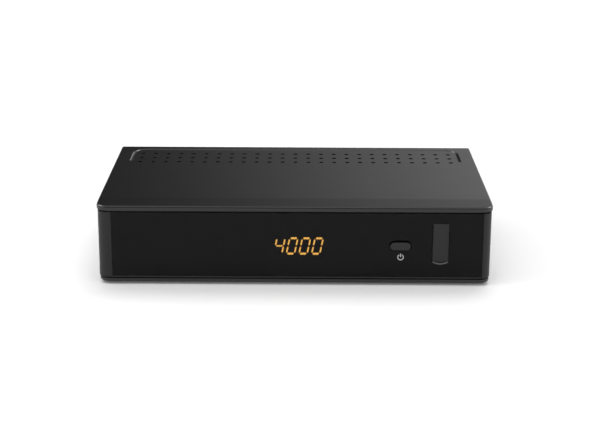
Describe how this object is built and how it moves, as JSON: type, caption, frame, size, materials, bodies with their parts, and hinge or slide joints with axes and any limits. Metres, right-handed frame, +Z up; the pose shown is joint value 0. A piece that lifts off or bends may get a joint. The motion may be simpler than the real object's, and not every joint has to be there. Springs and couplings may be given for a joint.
{
  "type": "satellite television receiver",
  "caption": "Low black desktop box with vented lid, dark front window with lit digits, power button, hinged port flap and a rear row of sockets.",
  "frame": {"origin": "on the surface that the feet stand on, midway between the lid's front edge and the ends of the aerial connectors, on the width's middle", "axes": "+X to the right seen from the front, +Y to the back, +Z up"},
  "size_m": [0.22, 0.1396, 0.0465],
  "materials": {
    "lid_plastic": "moulded ABS, fine satin grain",
    "base_plastic": "moulded ABS, fine grain",
    "frame_plastic": "moulded ABS, matt",
    "smoked_window": "smoked acrylic, polished",
    "panel_steel": "steel sheet, black powder coat",
    "foot_rubber": "moulded rubber",
    "dark_screws": "black oxide",
    "button_plastic": "moulded ABS, matt",
    "flap_plastic": "moulded ABS, matt",
    "black_insulator": "moulded polyester",
    "bright_steel": "zinc plated",
    "circuit_board": "green solder mask",
    "display_case": "moulded display case",
    "lit_amber": "lit diffuser",
    "unlit_segment": "unlit diffuser",
    "dark_resin": "infrared filter resin",
    "nickel_plate": "nickel plated",
    "white_insulator": "moulded insulator",
    "ribbon_film": "laminated film",
    "tinned_steel": "tin plated",
    "chip_resin": "moulded epoxy",
    "black_aluminium": "black anodised",
    "coil_ferrite": "sintered ferrite",
    "capacitor_sleeve": "shrunk sleeve",
    "gold_plate": "gold flash",
    "orange_insulator": "moulded, orange",
    "rocker_plastic": "moulded, satin",
    "printed_ink": "screen-printed ink"
  },
  "bodies": {
    "housing": {"top_cover": "lid_plastic", "base_tray": "base_plastic", "front_frame": "frame_plastic", "window_panel": "smoked_window", "rear_panel": "panel_steel", "feet": "foot_rubber", "case_screws": "dark_screws", "rear_panel_screws": "dark_screws", "button_switch_body": "black_insulator", "flap_pin": "bright_steel", "front_board": "circuit_board", "front_board_screws": "bright_steel", "display_module": "display_case", "lit_segments": "lit_amber", "unlit_segments": "unlit_segment", "infrared_receiver": "dark_resin", "front_data_shell": "nickel_plate", "front_data_tongue": "black_insulator", "ribbon_header_front": "white_insulator", "ribbon_header_main": "white_insulator", "ribbon_cable": "ribbon_film", "main_board": "circuit_board", "board_screws": "bright_steel", "tuner_can": "tinned_steel", "dish_input": "nickel_plate", "dish_loop_output": "nickel_plate", "connector_insulators": "white_insulator", "connector_washers": "bright_steel", "connector_nuts": "nickel_plate", "processor": "chip_resin", "heat_sink": "black_aluminium", "memory_chips": "chip_resin", "flash_chip": "chip_resin", "regulators": "chip_resin", "power_coils": "coil_ferrite", "capacitors": "capacitor_sleeve", "crystal": "tinned_steel", "card_reader_base": "black_insulator", "card_reader_cover": "tinned_steel", "network_socket_shell": "nickel_plate", "network_socket_insert": "black_insulator", "network_contacts": "gold_plate", "video_socket_shell": "nickel_plate", "video_socket_tongue": "black_insulator", "av_socket": "black_insulator", "av_contacts": "gold_plate", "audio_jack_body": "orange_insulator", "audio_jack_shell": "gold_plate", "audio_jack_core": "orange_insulator", "dc_inlet_body": "black_insulator", "dc_inlet_pin": "nickel_plate", "rocker_switch_body": "black_insulator"},
    "power_button": {"power_button": "button_plastic", "button_switch_plunger": "black_insulator"},
    "port_flap": {"port_flap": "flap_plastic"},
    "rocker": {"rocker": "rocker_plastic"}
  },
  "joints": [
    {"name": "power_button_press", "type": "slide", "parent": "housing", "child": "power_button", "axis": [0, 1, 0], "range_m": [0, 0.0005], "stiffness_N_per_m": 1500, "springref_m": -0.0002},
    {"name": "port_flap_hinge", "type": "hinge", "parent": "housing", "child": "port_flap", "pos_m": [0.0812, -0.06735, 0.03405], "axis": [-1, 0, 0], "range_deg": [0, 90]},
    {"name": "power_rocker", "type": "hinge", "parent": "housing", "child": "rocker", "pos_m": [-0.0716, 0.0553, 0.0161], "axis": [0, 0, 1], "range_deg": [0, 18]}
  ]
}
